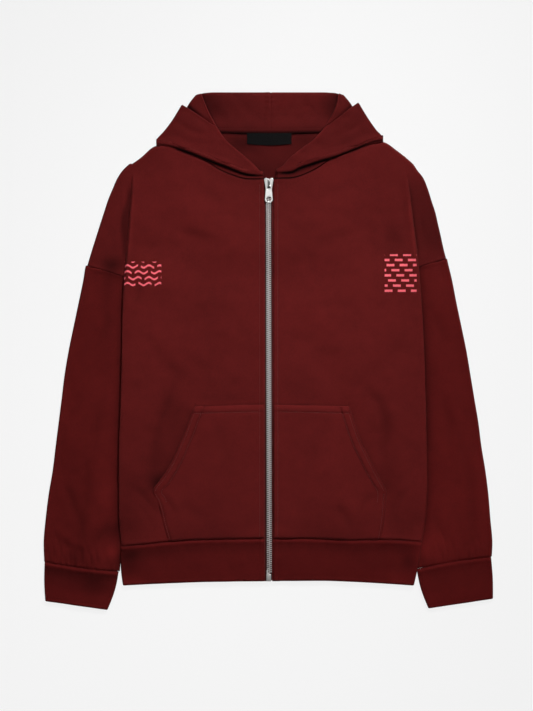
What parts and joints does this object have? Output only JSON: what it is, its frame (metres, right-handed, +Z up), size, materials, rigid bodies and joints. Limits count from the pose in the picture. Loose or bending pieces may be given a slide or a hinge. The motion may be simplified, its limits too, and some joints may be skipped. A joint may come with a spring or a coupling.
{
  "type": "zip up hoodie",
  "caption": "Zip-up hoodie laid flat on its back: hood laid open, drop-shoulder sleeves beside the body, slanted front pockets, hem band, cuffs and a closed metal zip.",
  "frame": {"origin": "on the surface that the garment lies on, under the middle of its overall width and height", "axes": "+X to the wearer's left, +Y from the hem to the hood, +Z up out of the garment's front"},
  "size_m": [0.7192, 0.8263, 0.0195],
  "materials": {
    "sweatshirt_cloth": "matte dark red jersey face, brushed inside",
    "band_cloth": "matte dark red, smooth and doubled",
    "zip_tape": "woven tape in the colour of the cloth",
    "zip_metal": "polished silver-coloured metal",
    "label_weave": "plain black woven label"
  },
  "bodies": {
    "garment": {"back": "sweatshirt_cloth", "front_left": "sweatshirt_cloth", "front_right": "sweatshirt_cloth", "sleeve_left": "sweatshirt_cloth", "sleeve_right": "sweatshirt_cloth", "cuff_left": "band_cloth", "cuff_right": "band_cloth", "hem_band": "band_cloth", "hood_left": "sweatshirt_cloth", "hood_right": "sweatshirt_cloth", "neck_tape": "sweatshirt_cloth", "label": "label_weave", "pocket_left": "sweatshirt_cloth", "pocket_right": "sweatshirt_cloth", "zip_tape_left": "zip_tape", "zip_tape_right": "zip_tape", "zip_teeth_left": "zip_metal", "zip_teeth_right": "zip_metal", "zip_slider": "zip_metal", "zip_box": "zip_metal"},
    "pull_tab": {"zip_pull": "zip_metal"}
  },
  "joints": [
    {"name": "pull_hinge", "type": "hinge", "parent": "garment", "child": "pull_tab", "pos_m": [0.0012, 0.2632, 0.01595], "axis": [-1, 0, 0], "range_deg": [0, 120]}
  ]
}
